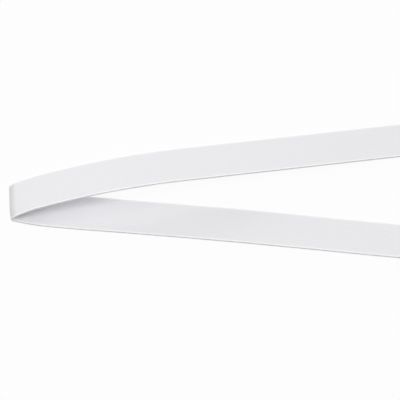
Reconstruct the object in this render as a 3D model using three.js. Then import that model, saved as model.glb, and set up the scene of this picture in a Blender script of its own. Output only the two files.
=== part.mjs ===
// A cut length of white woven elastic tape, folded back on itself and lying on a table.
// The lower run lies flat. The tape turns back in a soft crease, a little askew, so that the
// upper run leaves at an angle, arches over and comes down flat on the table further off.
// Units are millimetres, +Z is up and the table is z = 0.
import * as THREE from 'three';
import { mergeVertices } from 'three/addons/utils/BufferGeometryUtils.js';

// The tape as it is cut, before it is folded
const tapeWidth = 20;
const tapeThickness = 1;
const selvedgeRadius = 0.25;
const lowerRunLength = 200;
const upperRunLength = 212;

// How it lies
const foldLean = THREE.MathUtils.degToRad(9.5); // the crease against a line square across the tape
const lowerRunBow = 0.8; // how far the lower run strays sideways between its ends
const liftLength = 20; // the lower run's end beside the crease, which curves up off the table
const liftTurn = 12;
const creaseLength = 1.4; // measured along the middle of the tape's thickness
const creaseTurn = 126;
const shoulderLength = 3.4; // the steep start of the upper run
const shoulderTurn = 24;
const openingLength = 10.5; // where the upper run still springs up from the crease
const openingTurn = 9.3;
const archLength = 68.7;
const archTurn = 13.7;
const landingLength = 14;
const fallSlope = liftTurn + creaseTurn + shoulderTurn + openingTurn + archTurn - 180; // down to the table

// How finely it is divided
const longestStep = 8;
const largestTurn = 12; // degrees for each step
const cornerSteps = 3;
const squareEndFade = 60; // sections lie along the crease, and turn square over this length

const elasticWhite = new THREE.MeshStandardMaterial({ color: 0xebebee, roughness: 0.9, metalness: 0 });

// The stretches of the tape between its flat ends, from the lower run to the upper one.
// A turn is in degrees, and each stretch is a plain arc or a straight line.
function listStretches() {
  const stretches = [
    { name: 'lift', length: liftLength, turn: liftTurn },
    { name: 'crease', length: creaseLength, turn: creaseTurn },
    { name: 'shoulder', length: shoulderLength, turn: shoulderTurn },
    { name: 'opening', length: openingLength, turn: openingTurn },
    { name: 'arch', length: archLength, turn: archTurn },
    { name: 'fall', length: 0, turn: 0 },
    { name: 'landing', length: landingLength, turn: -fallSlope },
  ];
  // The fall is as long as it takes to bring the landing down to the table
  const arched = stretches.slice(0, -2).reduce(followStretch, { along: 0, p: 0, z: 0, slope: Math.PI });
  const fall = THREE.MathUtils.degToRad(fallSlope);
  const landingDrop = (landingLength / fall) * (1 - Math.cos(fall));
  stretches.at(-2).length = (arched.z - landingDrop) / Math.sin(fall);
  return stretches;
}

// Where the middle line is after a given length of a stretch. p runs away from the crease in
// plan, z is up, and the slope starts at half a turn, heading for the crease, and falls.
function pointAfter(start, stretch, length) {
  const turned = THREE.MathUtils.degToRad(stretch.turn) * (length / stretch.length || 0);
  const slope = start.slope - turned;
  const middle = start.slope - turned / 2;
  const chord = turned ? length * Math.sin(turned / 2) / (turned / 2) : length;
  return {
    along: start.along + length,
    p: start.p + chord * Math.cos(middle),
    z: start.z + chord * Math.sin(middle),
    slope,
  };
}

function followStretch(start, stretch) {
  return pointAfter(start, stretch, stretch.length);
}

// The middle line: its stretches with the point where each one starts, and the tip of the crease
const stretches = listStretches();
const tip = { along: -creaseLength / 2 - liftLength, p: 0, z: tapeThickness / 2, slope: Math.PI };
for (const stretch of stretches) {
  stretch.start = { ...tip };
  Object.assign(tip, followStretch(tip, stretch));
}
const landed = { ...tip };
const creaseMiddle = pointAfter(stretches[1].start, stretches[1], creaseLength / 2);

// The middle line at a distance from the crease's tip, negative on the lower run
function middleLineAt(distance) {
  const first = stretches[0].start;
  if (distance <= first.along) {
    return { p: first.p + first.along - distance - creaseMiddle.p, z: first.z, slope: Math.PI };
  }
  if (distance >= landed.along) {
    return { p: landed.p + distance - landed.along - creaseMiddle.p, z: landed.z, slope: 0 };
  }
  const stretch = stretches.findLast((candidate) => candidate.start.along <= distance);
  const point = pointAfter(stretch.start, stretch, distance - stretch.start.along);
  return { p: point.p - creaseMiddle.p, z: point.z, slope: point.slope };
}

// A point of the flat tape, given along it from the crease, across it, and out from its middle
// towards the face that ends up outside the fold, to its place on the table
function foldPoint(along, across, outward) {
  const part = THREE.MathUtils.clamp(-along / lowerRunLength, 0, 1);
  const bowed = across + lowerRunBow * Math.sin(Math.PI * part) ** 2;
  const fromCrease = along * Math.cos(foldLean) - bowed * Math.sin(foldLean);
  const alongCrease = along * Math.sin(foldLean) + bowed * Math.cos(foldLean);
  const middle = middleLineAt(fromCrease);
  const p = middle.p - outward * Math.sin(middle.slope);
  const z = middle.z + outward * Math.cos(middle.slope);
  return new THREE.Vector3(
    p * Math.cos(foldLean) - alongCrease * Math.sin(foldLean),
    p * Math.sin(foldLean) + alongCrease * Math.cos(foldLean),
    z,
  );
}

// The places along the tape where it gets a section, closer together where it turns
function listStations() {
  const stations = [-lowerRunLength];
  const divide = (from, to, turn) => {
    const steps = Math.max(Math.ceil((to - from) / longestStep), Math.ceil(Math.abs(turn) / largestTurn));
    for (let step = 1; step <= steps; step += 1) {
      stations.push(from + ((to - from) * step) / steps);
    }
  };
  // A section lies along the crease, so a place on the middle line is a little further along the tape
  const alongTape = (distance) => distance / Math.cos(foldLean);
  divide(-lowerRunLength, alongTape(stretches[0].start.along), 0);
  for (const stretch of stretches) {
    const from = alongTape(stretch.start.along);
    divide(from, from + alongTape(stretch.length), stretch.turn);
  }
  divide(alongTape(landed.along), upperRunLength, 0);
  return stations;
}

// The tape's own section: flat, with rounded selvedges
function tapeSection() {
  const section = new THREE.Shape();
  const side = tapeWidth / 2 - selvedgeRadius;
  const face = tapeThickness / 2 - selvedgeRadius;
  section.moveTo(-side, -face - selvedgeRadius);
  section.absarc(side, -face, selvedgeRadius, -Math.PI / 2, 0, false);
  section.absarc(side, face, selvedgeRadius, 0, Math.PI / 2, false);
  section.absarc(-side, face, selvedgeRadius, Math.PI / 2, Math.PI, false);
  section.absarc(-side, -face, selvedgeRadius, Math.PI, 1.5 * Math.PI, false);
  return section;
}

function makeTape() {
  const stations = listStations();
  const straight = new THREE.ExtrudeGeometry(tapeSection(), {
    depth: stations.length - 1,
    steps: stations.length - 1,
    curveSegments: cornerSteps,
    bevelEnabled: false,
  });
  straight.deleteAttribute('normal');
  straight.deleteAttribute('uv');
  const folded = mergeVertices(straight, 1e-5);
  const position = folded.attributes.position;
  for (let i = 0; i < position.count; i += 1) {
    const across = position.getX(i);
    const outward = position.getY(i);
    const station = stations[Math.round(position.getZ(i))];
    const toEnd = Math.min(station + lowerRunLength, upperRunLength - station);
    const slant = THREE.MathUtils.smoothstep(toEnd, 0, squareEndFade) * Math.tan(foldLean);
    const point = foldPoint(station + slant * across, across, outward);
    position.setXYZ(i, point.x, point.y, point.z);
  }
  folded.computeVertexNormals();
  const tape = new THREE.Mesh(folded, elasticWhite);
  tape.name = 'elastic_tape';
  return tape;
}

const object = new THREE.Group();
const tape = makeTape();
object.add(tape);

// The origin is under the middle of the whole length's box, on the table
const box = new THREE.Box3().setFromObject(tape);
const middle = box.getCenter(new THREE.Vector3());
tape.position.set(-middle.x, -middle.y, 0);
object.updateMatrixWorld(true);

export default object;
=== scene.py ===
# %% [markdown]
# # A folded length of white elastic tape
#
# Flat elastic is woven like a ribbon. Rubber threads wrapped in white polyester yarn run along
# it, and a fine yarn goes back and forth across them. This lesson dresses one cut length,
# 20 mm wide and 1 mm thick. It lies on a table and turns back on itself at one end, so that
# the upper run leaves the crease at an angle and arches over the lower one.
#
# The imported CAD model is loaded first. It is the frame that everything here has to fit.

# %% Load the frame
import math

import bpy
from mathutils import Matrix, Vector
from mathutils import noise
from mathutils.bvhtree import BVHTree


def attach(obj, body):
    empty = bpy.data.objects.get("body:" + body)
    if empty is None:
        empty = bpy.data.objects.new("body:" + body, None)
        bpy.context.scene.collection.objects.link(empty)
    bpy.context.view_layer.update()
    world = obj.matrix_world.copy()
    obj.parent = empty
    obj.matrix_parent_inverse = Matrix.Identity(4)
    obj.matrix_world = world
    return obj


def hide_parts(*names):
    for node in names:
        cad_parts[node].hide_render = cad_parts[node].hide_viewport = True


MM = 0.001


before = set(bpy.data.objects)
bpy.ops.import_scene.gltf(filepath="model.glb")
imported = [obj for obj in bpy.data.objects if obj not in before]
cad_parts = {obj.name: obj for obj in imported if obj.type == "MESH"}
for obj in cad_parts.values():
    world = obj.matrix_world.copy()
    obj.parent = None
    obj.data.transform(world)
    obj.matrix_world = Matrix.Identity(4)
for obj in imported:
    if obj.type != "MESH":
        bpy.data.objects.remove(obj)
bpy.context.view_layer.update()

# %% [markdown]
# ## The camera
#
# The two runs hardly narrow towards the far side, which says that the picture was taken from
# well away with a long lens. The camera looks down at 50 degrees, a few degrees off square.
# It needs no shift and no depth of field.

# %% Place the camera
CAMERA_TARGET = Vector((-12.06, -19.32, 0)) * MM
CAMERA_AZIMUTH = math.radians(6.5)
CAMERA_ELEVATION = math.radians(50)
CAMERA_DISTANCE = 1.4135
# The lens and the sensor are in millimetres.
CAMERA_LENS = 270
CAMERA_SENSOR = 36

towards_camera = Vector((
    math.sin(CAMERA_AZIMUTH) * math.cos(CAMERA_ELEVATION),
    -math.cos(CAMERA_AZIMUTH) * math.cos(CAMERA_ELEVATION),
    math.sin(CAMERA_ELEVATION),
))
bpy.ops.object.select_all(action="DESELECT")
bpy.ops.object.camera_add(location=CAMERA_TARGET + CAMERA_DISTANCE * towards_camera)
camera = bpy.context.object
camera.name = "camera"
camera.rotation_euler = towards_camera.to_track_quat("Z", "Y").to_euler()
camera.data.sensor_width = CAMERA_SENSOR
camera.data.lens = CAMERA_LENS
bpy.context.scene.camera = camera
print("camera at", [round(value, 3) for value in camera.location])

# %% [markdown]
# ## Colours and nodes
#
# A colour picked off a screen is an sRGB value, and shaders work with linear light. One
# function turns the first into the second. Another adds a shader node with its settings and
# what feeds it, so that each material below reads as a short list.

# %% Two small helpers
def linear_colour(hex_value):
    """Turns an sRGB colour such as "ebeaed" into linear red, green, blue and an alpha of 1."""
    channels = [int(hex_value[start:start + 2], 16) / 255 for start in (0, 2, 4)]
    # The numbers are those of the sRGB standard, straight near black and curved above.
    linear = [c / 12.92 if c <= 0.04045 else ((c + 0.055) / 1.055) ** 2.4 for c in channels]
    return (*linear, 1)


def add_node(tree, kind, settings=None, inputs=None):
    """Adds a node. An input is given a value, or the output socket that feeds it."""
    node = tree.nodes.new(kind)
    for name, value in (settings or {}).items():
        setattr(node, name, value)
    for name, value in (inputs or {}).items():
        if isinstance(value, bpy.types.NodeSocket):
            tree.links.new(value, node.inputs[name])
        else:
            node.inputs[name].default_value = value
    return node


print("the grey 808080 is", round(linear_colour("808080")[0], 3), "in linear light")

# %% [markdown]
# ## Table and light
#
# White goods are often shot on a light table, a sheet of white acrylic that is lit from
# below. It turns the background plain white, leaves hardly any shadow, and lights the
# underside of whatever stands above it. Here the table glows, and it reflects a little light
# too, so that a faint shadow stays where the tape lies on it. What the camera sees of the glow
# is held just below pure white. The table isn't sampled as a lamp: it is so large that rays
# find it by themselves, and the tops of the tape, which it can't reach, stay free of noise.

# %% Lay the light table
TABLE_SIZE = 4
TABLE_DROP = 0.02 * MM
TABLE_WHITE = "fdfdfd"
SEEN_GLOW = 0.945
TABLE_GLOW = 0.63
TABLE_REFLECTION = 0.055

bpy.ops.object.select_all(action="DESELECT")
bpy.ops.mesh.primitive_plane_add(size=TABLE_SIZE, location=(0, 0, -TABLE_DROP))
table = bpy.context.object
table.name = "table"

acrylic = bpy.data.materials.new("lit_white_acrylic")
acrylic.use_nodes = True
tree = acrylic.node_tree
tree.nodes.clear()
ray = add_node(tree, "ShaderNodeLightPath")
strength = add_node(tree, "ShaderNodeMix", inputs={
    "Factor": ray.outputs["Is Camera Ray"],
    "A": TABLE_GLOW,
    "B": SEEN_GLOW,
})
glow = add_node(tree, "ShaderNodeEmission", inputs={
    "Color": linear_colour(TABLE_WHITE),
    "Strength": strength.outputs["Result"],
})
matt = add_node(tree, "ShaderNodeBsdfDiffuse", inputs={
    "Color": (TABLE_REFLECTION, TABLE_REFLECTION, TABLE_REFLECTION, 1),
})
both = add_node(tree, "ShaderNodeAddShader", inputs={0: glow.outputs[0], 1: matt.outputs[0]})
add_node(tree, "ShaderNodeOutputMaterial", inputs={"Surface": both.outputs[0]})
acrylic.cycles.emission_sampling = "NONE"
table.data.materials.append(acrylic)
print("table", TABLE_SIZE, "m wide, glowing at", TABLE_GLOW)

# %% [markdown]
# ## Softboxes
#
# One softbox hangs almost overhead, a little towards the camera, and one stands on the left. A
# weak wide one hangs high behind the tape, and a long low strip behind it shines in under the
# upper run. Little but the table lights the vertical side of the tape that faces the camera, so
# that side is the darkest line in the picture. A very weak even light from all round keeps the
# other views from going dark. Colours are shown as they are, without a film curve.

# %% Hang the lights
SKY_STRENGTH = 0.04
LIGHT_AIM = Vector((-0.02, 0, 0))
OVERHEAD_PLACE = (0, -0.55, 1.2)
OVERHEAD_SIZE = (1.2, 0.8)
OVERHEAD_POWER = 10.4
LEFT_PLACE = (-0.8, 0, 1)
LEFT_SIZE = (1, 0.8)
LEFT_POWER = 5.5
HIGH_BACK_PLACE = (0.2, 0.9, 1)
HIGH_BACK_SIZE = (2, 0.8)
HIGH_BACK_POWER = 4.4
LOW_BACK_PLACE = (0, 1.25, 0.27)
LOW_BACK_SIZE = (2.4, 0.45)
LOW_BACK_POWER = 17.3

world = bpy.data.worlds.new("studio")
world.use_nodes = True
tree = world.node_tree
tree.nodes.clear()
ray = add_node(tree, "ShaderNodeLightPath")
sky = add_node(tree, "ShaderNodeBackground", inputs={
    "Color": (1, 1, 1, 1),
    "Strength": SKY_STRENGTH,
})
backdrop = add_node(tree, "ShaderNodeBackground", inputs={"Color": linear_colour(TABLE_WHITE)})
seen = add_node(tree, "ShaderNodeMixShader", inputs={
    "Fac": ray.outputs["Is Camera Ray"],
    1: sky.outputs[0],
    2: backdrop.outputs[0],
})
add_node(tree, "ShaderNodeOutputWorld", inputs={"Surface": seen.outputs[0]})
bpy.context.scene.world = world

for name, place, size, power in (
    ("overhead_softbox", OVERHEAD_PLACE, OVERHEAD_SIZE, OVERHEAD_POWER),
    ("left_softbox", LEFT_PLACE, LEFT_SIZE, LEFT_POWER),
    ("high_back_softbox", HIGH_BACK_PLACE, HIGH_BACK_SIZE, HIGH_BACK_POWER),
    ("low_back_softbox", LOW_BACK_PLACE, LOW_BACK_SIZE, LOW_BACK_POWER),
):
    bpy.ops.object.light_add(type="AREA", location=place)
    softbox = bpy.context.object
    softbox.name = name
    softbox.rotation_euler = (Vector(place) - LIGHT_AIM).to_track_quat("Z", "Y").to_euler()
    softbox.data.shape = "RECTANGLE"
    softbox.data.size = size[0]
    softbox.data.size_y = size[1]
    softbox.data.energy = power
    softbox.visible_camera = False
    print(name, power, "W")

bpy.context.scene.view_settings.view_transform = "Standard"
bpy.context.scene.view_settings.look = "None"

# %% [markdown]
# ## How the tape is folded
#
# The CAD part was made from a few named sizes, and the same ones are repeated here. Seen from
# the side, the tape is a line of plain arcs: a lift off the table, a tight crease, a steep
# shoulder, an opening where the crease springs apart, a long arch, a straight fall and a soft
# landing. A function follows that line, and another turns a place on the flat tape into a place
# on the table. Only the front end of the crease differs from the CAD part: it is pulled in by
# less than a millimetre.

# %% The sizes of the tape
TAPE_WIDTH = 20 * MM
TAPE_THICKNESS = 1 * MM
SELVEDGE_RADIUS = 0.25 * MM
LOWER_RUN_LENGTH = 200 * MM
UPPER_RUN_LENGTH = 212 * MM
TAPE_LENGTH = LOWER_RUN_LENGTH + UPPER_RUN_LENGTH
print("flat, the tape is", round(TAPE_WIDTH / MM), "by", round(TAPE_LENGTH / MM), "mm")

# %% The line that the tape follows, seen from the side
# Each stretch has a length and a turn.
lift = {"length": 20 * MM, "turn": math.radians(12)}
crease = {"length": 1.4 * MM, "turn": math.radians(126)}
shoulder = {"length": 3.4 * MM, "turn": math.radians(24)}
opening = {"length": 10.5 * MM, "turn": math.radians(9.3)}
arch = {"length": 68.7 * MM, "turn": math.radians(13.7)}
arched = (lift, crease, shoulder, opening, arch)
fall_slope = sum(stretch["turn"] for stretch in arched) - math.pi
landing = {"length": 14 * MM, "turn": -fall_slope}
print("the fall goes down at", round(math.degrees(fall_slope), 1), "degrees")


# %% Follow that line
def point_after(start, stretch, length):
    """Goes along a stretch for a length, and says where that ends."""
    turned = stretch["turn"] * length / stretch["length"]
    middle_slope = start["slope"] - turned / 2
    chord = length * math.sin(turned / 2) / (turned / 2) if turned else length
    return {
        "distance": start["distance"] + length,
        "away": start["away"] + chord * math.cos(middle_slope),
        "height": start["height"] + chord * math.sin(middle_slope),
        "slope": start["slope"] - turned,
    }


# The line starts on the table and heads for the crease, which is a slope of half a turn. It ends
# with a slope of 0, heading away from the crease.
point = {
    "distance": -crease["length"] / 2 - lift["length"],
    "away": 0,
    "height": TAPE_THICKNESS / 2,
    "slope": math.pi,
}
for stretch in arched:
    stretch["start"] = point
    point = point_after(point, stretch, stretch["length"])
landing_drop = landing["length"] / fall_slope * (1 - math.cos(fall_slope))
fall_height = point["height"] - TAPE_THICKNESS / 2 - landing_drop
fall = {"length": fall_height / math.sin(fall_slope), "turn": 0}
for stretch in (fall, landing):
    stretch["start"] = point
    point = point_after(point, stretch, stretch["length"])
landed = point
stretches = [*arched, fall, landing]
crease_middle = point_after(crease["start"], crease, crease["length"] / 2)
landing_reach = landed["away"] - crease_middle["away"]
print("the upper run lands", round(landing_reach / MM, 1), "mm from the crease")


def middle_line_at(distance):
    """How far from the crease's tip and how high the tape's middle is, at a distance along it."""
    if distance <= lift["start"]["distance"]:
        away = lift["start"]["away"] + lift["start"]["distance"] - distance
        height = lift["start"]["height"]
    elif distance >= landed["distance"]:
        away = landed["away"] + distance - landed["distance"]
        height = landed["height"]
    else:
        reached = [each for each in stretches if each["start"]["distance"] <= distance][-1]
        here = point_after(reached["start"], reached, distance - reached["start"]["distance"])
        away = here["away"]
        height = here["height"]
    return away - crease_middle["away"], height


# %% Fold a place on the flat tape
# The crease leans away from square, and the lower run bows a little.
FOLD_LEAN = math.radians(9.5)
LOWER_RUN_BOW = 0.8 * MM
CREASE_TIP = Vector((-99.845, -34.052, 0)) * MM
TIP_PULL = 0.7 * MM
TIP_PULL_FADE = 14 * MM
# The higher this is, the closer to the front edge the pull stays.
TIP_PULL_POWER = 2.5


def smooth_step(value, end):
    """Rises from 0 to 1 between 0 and end, with soft ends."""
    part = min(max(value / end, 0), 1)
    return part * part * (3 - 2 * part)


def tip_pull(from_crease, across):
    """The front end of the crease is softer, so it stops a little short of the rest."""
    front = max(-across * 2 / TAPE_WIDTH, 0) ** TIP_PULL_POWER
    return TIP_PULL * front * smooth_step(TIP_PULL_FADE - abs(from_crease), TIP_PULL_FADE)


def fold_point(along, across):
    """Takes a point of the flat tape, along it from the crease and across it, to the table."""
    part = min(max(-along / LOWER_RUN_LENGTH, 0), 1)
    bowed = across + LOWER_RUN_BOW * math.sin(math.pi * part) ** 2
    from_crease = along * math.cos(FOLD_LEAN) - bowed * math.sin(FOLD_LEAN)
    along_crease = along * math.sin(FOLD_LEAN) + bowed * math.cos(FOLD_LEAN)
    away, height = middle_line_at(from_crease)
    away += tip_pull(from_crease, across)
    return CREASE_TIP + Vector((
        away * math.cos(FOLD_LEAN) - along_crease * math.sin(FOLD_LEAN),
        away * math.sin(FOLD_LEAN) + along_crease * math.cos(FOLD_LEAN),
        height,
    ))


upper_end = fold_point(UPPER_RUN_LENGTH, 0)
print("the upper run ends at", [round(value / MM, 1) for value in upper_end], "mm")

# %% [markdown]
# ## The tape as a mesh
#
# Cloth like this is easiest as a flat grid that is folded in code and then given its thickness
# by a Solidify modifier. The grid's rows are packed where the tape bends. Its columns follow
# the ribs: each rubber thread stands a little proud, with a narrow valley beside it, and a flat
# selvedge holds the weft on each side. Real ribs are about 1 mm apart. These are drawn at
# 1.5 mm, as coarse as they have to be to show.

# %% Where the grid's rows go
FLAT_ROW_SPACING = 2.5 * MM
ROUNDING_ERROR = 1e-9
# The map for painting cuts each face into this many rows, and the grid has a line at each cut.
MAP_ROWS = 3


def divided(start, end, longest):
    """Places after start, up to end, that are evenly apart and at most longest apart."""
    count = math.ceil((end - start) / longest - ROUNDING_ERROR)
    return [start + (end - start) * step / count for step in range(1, count + 1)]


stations = [-LOWER_RUN_LENGTH]
map_cuts = [TAPE_LENGTH * row / MAP_ROWS - LOWER_RUN_LENGTH for row in range(1, MAP_ROWS)]
for stretch, longest in (
    (lift, 1 * MM),
    (crease, 0.1 * MM),
    (shoulder, 0.3 * MM),
    (opening, 0.6 * MM),
    (arch, 2 * MM),
    (fall, FLAT_ROW_SPACING),
    (landing, 1.5 * MM),
):
    begin = stretch["start"]["distance"] / math.cos(FOLD_LEAN)
    end = begin + stretch["length"] / math.cos(FOLD_LEAN)
    for stop in [*[cut for cut in map_cuts if stations[-1] < cut < begin], begin]:
        if stop > stations[-1] + ROUNDING_ERROR:
            stations += divided(stations[-1], stop, FLAT_ROW_SPACING)
    for stop in [*[cut for cut in map_cuts if begin < cut < end], end]:
        stations += divided(stations[-1], stop, longest)
stations += divided(stations[-1], UPPER_RUN_LENGTH, FLAT_ROW_SPACING)
closest = min(after - before for before, after in zip(stations, stations[1:]))
print(len(stations), "rows, and the closest are", round(closest / MM, 3), "mm apart")

# %% Where the grid's columns go
RIB_COUNT = 12
COLUMNS_PER_RIB = 12
SELVEDGE_WIDTH = 1 * MM
RIB_PITCH = (TAPE_WIDTH - 2 * SELVEDGE_WIDTH) / RIB_COUNT
# Columns at these shares of the selvedge, and then at these degrees round its soft edge.
SELVEDGE_SHARES = (0.12, 0.28, 0.46, 0.58)
EDGE_ANGLES = (0, 15, 30, 45, 60, 75, 90)

half_ribs = RIB_COUNT * RIB_PITCH / 2
rib_columns = divided(-half_ribs, half_ribs, RIB_PITCH / COLUMNS_PER_RIB)
selvedge_columns = [half_ribs + SELVEDGE_WIDTH * share for share in SELVEDGE_SHARES]
selvedge_columns += [
    TAPE_WIDTH / 2 - SELVEDGE_RADIUS * (1 - math.sin(math.radians(angle)))
    for angle in EDGE_ANGLES
]
columns = [-column for column in reversed(selvedge_columns)]
columns += [-half_ribs, *rib_columns, *selvedge_columns]
print(len(columns), "columns for", RIB_COUNT, "ribs", round(RIB_PITCH / MM, 2), "mm apart")

# %% How the ribs and the selvedges stand
RIB_RELIEF = 0.013 * MM
# Below 1, a rib is broad and the valley beside it narrow.
RIB_POWER = 0.7
SELVEDGE_DROP = 0.009 * MM
SELVEDGE_RISE = 0.3 * SELVEDGE_WIDTH


def face_drop(across):
    """How far the face lies below the highest rib, at a place across the tape."""
    reach = abs(across)
    round_start = TAPE_WIDTH / 2 - SELVEDGE_RADIUS
    if reach > round_start:
        over = min(reach - round_start, SELVEDGE_RADIUS)
        return SELVEDGE_DROP + SELVEDGE_RADIUS - math.sqrt(SELVEDGE_RADIUS ** 2 - over ** 2)
    if reach > half_ribs:
        risen = smooth_step(reach - half_ribs, SELVEDGE_RISE)
        return RIB_RELIEF + (SELVEDGE_DROP - RIB_RELIEF) * risen
    crown = abs(math.sin(math.pi * (across + half_ribs) / RIB_PITCH))
    return RIB_RELIEF * (1 - crown ** RIB_POWER)


deepest = max(face_drop(column) for column in rib_columns)
print("the valleys lie", round(deepest / MM, 3), "mm below the ribs")

# %% Fold the grid
SQUARE_END_FADE = 60 * MM
SELVEDGE_STRAY = 0.05 * MM
STRAY_LENGTH = 14 * MM
STRAY_LEVEL = 0.5
# The higher this is, the closer to the edge the stray stays.
STRAY_POWER = 6
# Each side reads the noise from a place of its own.
FRONT_NOISE = 3
BACK_NOISE = 7
NOISE_HEIGHT = 0.5


def selvedge_stray(along, across):
    """The weft pulls the selvedge in by slightly different amounts along the tape."""
    side = BACK_NOISE if across > 0 else FRONT_NOISE
    pull = STRAY_LEVEL + noise.noise(Vector((along / STRAY_LENGTH, side, NOISE_HEIGHT)))
    at_edge = (abs(across) * 2 / TAPE_WIDTH) ** STRAY_POWER
    return -math.copysign(SELVEDGE_STRAY, across) * pull * at_edge


# The grid is added 1 m wide, so a point's place on it tells its row and its column.
bpy.ops.object.select_all(action="DESELECT")
bpy.ops.mesh.primitive_grid_add(
    x_subdivisions=len(stations) - 1,
    y_subdivisions=len(columns) - 1,
    size=1,
)
tape = bpy.context.object
tape.name = "elastic_binding"
mesh = tape.data
grid_points = len(mesh.vertices)
along_of = [0.0] * grid_points
across_of = [0.0] * grid_points
station_of = [0.0] * grid_points
for vertex in mesh.vertices:
    station = stations[round((vertex.co.x + 0.5) * (len(stations) - 1))]
    across = columns[round((vertex.co.y + 0.5) * (len(columns) - 1))]
    to_end = min(station + LOWER_RUN_LENGTH, UPPER_RUN_LENGTH - station)
    slant = smooth_step(to_end, SQUARE_END_FADE) * math.tan(FOLD_LEAN)
    along = station + slant * across
    vertex.co = fold_point(along, across + selvedge_stray(along, across))
    along_of[vertex.index] = along
    across_of[vertex.index] = across
    station_of[vertex.index] = station
mesh.update()
print("grid of", grid_points, "points, folded")

# %% Give it thickness
SHARP_ANGLE = math.radians(60)

thickness = tape.vertex_groups.new(name="thickness")
for index in range(grid_points):
    share = 1 - 2 * face_drop(across_of[index]) / TAPE_THICKNESS
    thickness.add([index], share, "REPLACE")
for name, values in (("along", along_of), ("across", across_of), ("station", station_of)):
    mesh.attributes.new(name, "FLOAT", "POINT").data.foreach_set("value", values)

solidify = tape.modifiers.new("thickness", "SOLIDIFY")
solidify.thickness = TAPE_THICKNESS
solidify.offset = 0
solidify.use_rim = True
solidify.vertex_group = "thickness"
bpy.ops.object.modifier_apply(modifier=solidify.name)
tape.vertex_groups.clear()
bpy.ops.object.shade_smooth_by_angle(angle=SHARP_ANGLE)
mesh = tape.data

# The grid's own points are now on the outside of the fold, and the new ones on its inside.
outside_of = [1.0] * grid_points + [0.0] * (len(mesh.vertices) - grid_points)
mesh.attributes.new("outside", "FLOAT", "POINT").data.foreach_set("value", outside_of)
print(sum(len(face.vertices) - 2 for face in mesh.polygons), "triangles")

# %% Check the mesh against the CAD node
cad_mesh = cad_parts["elastic_tape"].data
cad_tree = BVHTree.FromPolygons(
    [vertex.co for vertex in cad_mesh.vertices],
    [face.vertices for face in cad_mesh.polygons],
)
distances = [cad_tree.find_nearest(vertex.co)[3] for vertex in mesh.vertices]
print("furthest from the CAD solid:", round(max(distances) / MM, 3), "mm")
heights = [vertex.co.z for vertex in mesh.vertices]
print("lowest and highest point:", round(min(heights) / MM, 3), round(max(heights) / MM, 3), "mm")

# %% [markdown]
# ## A flat map for painting
#
# The map lays both faces out flat, each cut into three rows so that the long tape fills a
# square. The selvedge rims and the cut ends get narrow rows of their own. The material below
# doesn't need it, but a game or a web page that shows the tape with a picture of the weave does.

# %% Lay out the map
MAP_SIDE = 141 * MM
MAP_MARGIN = 0.7 * MM
RIM_HEIGHT = TAPE_THICKNESS - 2 * SELVEDGE_RADIUS
# Places along the tape, in metres, are compared to this many decimals.
PLACE_DECIMALS = 7

across_of = [item.value for item in mesh.attributes["across"].data]
station_of = [item.value for item in mesh.attributes["station"].data]
row_length = TAPE_LENGTH / MAP_ROWS
face_height = TAPE_WIDTH + MAP_MARGIN
rim_row_height = TAPE_THICKNESS + MAP_MARGIN
rims_start = 2 * MAP_ROWS * face_height + MAP_MARGIN
cut_ends_start = rims_start + 2 * MAP_ROWS * rim_row_height

flat_map = mesh.uv_layers.new(name="OFBake")
for face in mesh.polygons:
    corners = list(face.vertices)
    outer = [corner < grid_points for corner in corners]
    middle = sum(station_of[corner] for corner in corners) / len(corners) + LOWER_RUN_LENGTH
    row = min(int(middle / row_length), MAP_ROWS - 1)
    is_rim = any(outer) and not all(outer)
    places_along = {round(station_of[corner], PLACE_DECIMALS) for corner in corners}
    is_cut_end = is_rim and len(places_along) == 1
    for corner, loop, is_outer in zip(corners, face.loop_indices, outer):
        u = station_of[corner] + LOWER_RUN_LENGTH - row * row_length + MAP_MARGIN
        if is_cut_end:
            end = 0 if row == 0 else 1
            u = MAP_MARGIN + end * face_height + across_of[corner] + TAPE_WIDTH / 2
            v = cut_ends_start + (TAPE_THICKNESS if is_outer else 0)
        elif is_rim:
            side = 0 if across_of[corner] > 0 else 1
            v = rims_start + (2 * row + side) * rim_row_height + (RIM_HEIGHT if is_outer else 0)
        else:
            side = 0 if is_outer else 1
            v = MAP_MARGIN + (2 * row + side) * face_height + across_of[corner] + TAPE_WIDTH / 2
        flat_map.data[loop].uv = (u / MAP_SIDE, v / MAP_SIDE)
for extra in [layer.name for layer in mesh.uv_layers if layer.name != "OFBake"]:
    mesh.uv_layers.remove(mesh.uv_layers[extra])
mesh.attributes.remove(mesh.attributes["station"])
used = [max(item.uv[axis] for item in mesh.uv_layers["OFBake"].data) for axis in (0, 1)]
print("map used up to", [round(place, 3) for place in used])

# %% [markdown]
# ## The weave
#
# The tape is a plain weave of bright white polyester over covered rubber threads. Polyester
# yarn is soft and matt on an elastic, because it is bulked: its fine fibres are crimped and
# scatter the light. A Principled shader with a high roughness and a little sheen gives that.
# The weft crosses each rib in small floats, shifted by half a step from rib to rib, which are
# too small for the mesh and go into the bump. They are 0.75 mm apart on a real tape, and are
# drawn at 1.25 mm so that they show.
#
# On the outside of the crease, where the fold turns away from the light, the colour is made a
# little darker: painted shade.

# %% Make the woven elastic
YARN_ROUGHNESS = 0.88
YARN_SPECULAR = 0.25
YARN_SHEEN = 0.1
YARN_SHEEN_ROUGHNESS = 0.5

woven = bpy.data.materials.new("woven_polyester_elastic")
woven.use_nodes = True
tree = woven.node_tree
shader = tree.nodes["Principled BSDF"]
shader.inputs["Roughness"].default_value = YARN_ROUGHNESS
shader.inputs["Specular IOR Level"].default_value = YARN_SPECULAR
shader.inputs["Sheen Weight"].default_value = YARN_SHEEN
shader.inputs["Sheen Roughness"].default_value = YARN_SHEEN_ROUGHNESS
tape.data.materials.append(woven)

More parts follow.
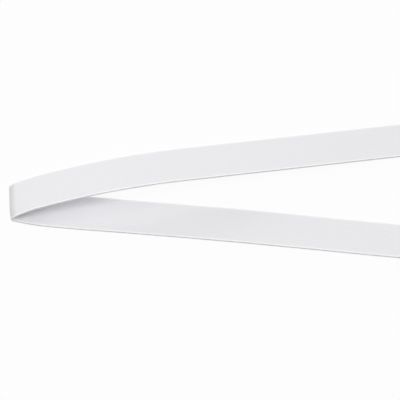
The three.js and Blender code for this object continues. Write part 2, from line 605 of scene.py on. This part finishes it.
along = add_node(tree, "ShaderNodeAttribute", {"attribute_name": "along"}).outputs["Fac"]
across = add_node(tree, "ShaderNodeAttribute", {"attribute_name": "across"}).outputs["Fac"]
outside = add_node(tree, "ShaderNodeAttribute", {"attribute_name": "outside"}).outputs["Fac"]
print("yarn roughness", YARN_ROUGHNESS, "and sheen", YARN_SHEEN)

# %% Weft floats in the bump
PICK_PITCH = 1.25 * MM
PICK_RELIEF = 0.01 * MM

from_first_rib = add_node(tree, "ShaderNodeMath", {"operation": "ADD"}, {0: across, 1: half_ribs})
rib = add_node(tree, "ShaderNodeMath", {"operation": "DIVIDE"}, {
    0: from_first_rib.outputs[0],
    1: RIB_PITCH,
})
rib_number = add_node(tree, "ShaderNodeMath", {"operation": "FLOOR"}, {0: rib.outputs[0]})
odd_rib = add_node(tree, "ShaderNodeMath", {"operation": "PINGPONG"}, {
    0: rib_number.outputs[0],
    1: 1,
})
half_step = add_node(tree, "ShaderNodeMath", {"operation": "MULTIPLY"}, {
    0: odd_rib.outputs[0],
    1: 0.5,
})
pick = add_node(tree, "ShaderNodeMath", {"operation": "MULTIPLY_ADD"}, {
    0: along,
    1: 1 / PICK_PITCH,
    2: half_step.outputs[0],
})

# Ribs and floats have the same section, half a wave that is 1 in the middle and 0 between two.
humps = []
for count in (rib, pick):
    wave = add_node(tree, "ShaderNodeMath", {"operation": "MULTIPLY"}, {
        0: count.outputs[0],
        1: math.pi,
    })
    crown = add_node(tree, "ShaderNodeMath", {"operation": "SINE"}, {0: wave.outputs[0]})
    humps.append(add_node(tree, "ShaderNodeMath", {"operation": "ABSOLUTE"}, {
        0: crown.outputs[0],
    }))
rib_height, pick_height = humps
float_height = add_node(tree, "ShaderNodeMath", {"operation": "MULTIPLY"}, {
    0: rib_height.outputs[0],
    1: pick_height.outputs[0],
})
bump = add_node(tree, "ShaderNodeBump", inputs={
    "Strength": 1,
    "Distance": PICK_RELIEF,
    "Height": float_height.outputs[0],
})
tree.links.new(bump.outputs["Normal"], shader.inputs["Normal"])
print("floats", round(PICK_PITCH / MM, 2), "mm apart on ribs", round(RIB_PITCH / MM, 2), "mm apart")

# %% Yarn white, with painted shade in the valleys and a painted highlight on the selvedges
YARN_WHITE = "ebeaed"
# The valleys between the ribs are a little darker than the yarn: painted shade.
VALLEY_PAINTED_SHADE = "e8e8eb"
# The selvedges are whiter than the yarn: a painted highlight along both edges.
SELVEDGE_PAINTED_HIGHLIGHT = "fafafb"
HIGHLIGHT_START = half_ribs - 0.3 * MM
HIGHLIGHT_END = half_ribs + 0.8 * MM

# The rib's height mixes the yarn white with the painted valley shade.
yarn_and_valley_shade = add_node(tree, "ShaderNodeMix", {"data_type": "RGBA"}, {
    "Factor": rib_height.outputs[0],
    "A": linear_colour(VALLEY_PAINTED_SHADE),
    "B": linear_colour(YARN_WHITE),
})
reach = add_node(tree, "ShaderNodeMath", {"operation": "ABSOLUTE"}, {0: across})
# The painted selvedge highlight fades in between these two distances from the middle.
selvedge_highlight = add_node(tree, "ShaderNodeMapRange", {"interpolation_type": "SMOOTHSTEP"}, {
    "Value": reach.outputs[0],
    "From Min": HIGHLIGHT_START,
    "From Max": HIGHLIGHT_END,
})
before_crease_shade = add_node(tree, "ShaderNodeMix", {"data_type": "RGBA"}, {
    "Factor": selvedge_highlight.outputs[0],
    "A": yarn_and_valley_shade.outputs["Result"],
    "B": linear_colour(SELVEDGE_PAINTED_HIGHLIGHT),
})
print("yarn", YARN_WHITE, "valleys", VALLEY_PAINTED_SHADE, "selvedges", SELVEDGE_PAINTED_HIGHLIGHT)

# %% Painted shade on the outside of the crease
# A darker tint on the outside of the crease, where the fold turns away from the light, is painted
# shade.
CREASE_SHADE_TINT = "efefed"
CREASE_SHADE_START = 1.2 * MM
CREASE_SHADE_END = 4 * MM

across_part = add_node(tree, "ShaderNodeMath", {"operation": "MULTIPLY"}, {
    0: across,
    1: -math.sin(FOLD_LEAN),
})
from_crease = add_node(tree, "ShaderNodeMath", {"operation": "MULTIPLY_ADD"}, {
    0: along,
    1: math.cos(FOLD_LEAN),
    2: across_part.outputs[0],
})
crease_distance = add_node(tree, "ShaderNodeMath", {"operation": "ABSOLUTE"}, {
    0: from_crease.outputs[0],
})
crease_shade = add_node(tree, "ShaderNodeMapRange", {"interpolation_type": "SMOOTHSTEP"}, {
    "Value": crease_distance.outputs[0],
    "From Min": CREASE_SHADE_START,
    "From Max": CREASE_SHADE_END,
    "To Min": 1,
    "To Max": 0,
})
crease_shade_outside = add_node(tree, "ShaderNodeMath", {"operation": "MULTIPLY"}, {
    0: crease_shade.outputs[0],
    1: outside,
})
# The painted crease shade is multiplied into the colour here.
with_crease_shade = add_node(tree, "ShaderNodeMix", {"data_type": "RGBA", "blend_type": "MULTIPLY"}, {
    "Factor": crease_shade_outside.outputs[0],
    "A": before_crease_shade.outputs["Result"],
    "B": linear_colour(CREASE_SHADE_TINT),
})
tree.links.new(with_crease_shade.outputs["Result"], shader.inputs["Base Color"])
print("woven material:", len(tree.nodes), "nodes")

# %% [markdown]
# ## Tie the tape to the frame
#
# The piece rides on the part's one body, and stands for the CAD node, which isn't shown. It is
# a sheet of cloth: 20 mm by 412 mm before it was folded.

# %% Tie it and finish
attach(tape, "root")
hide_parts("elastic_tape")
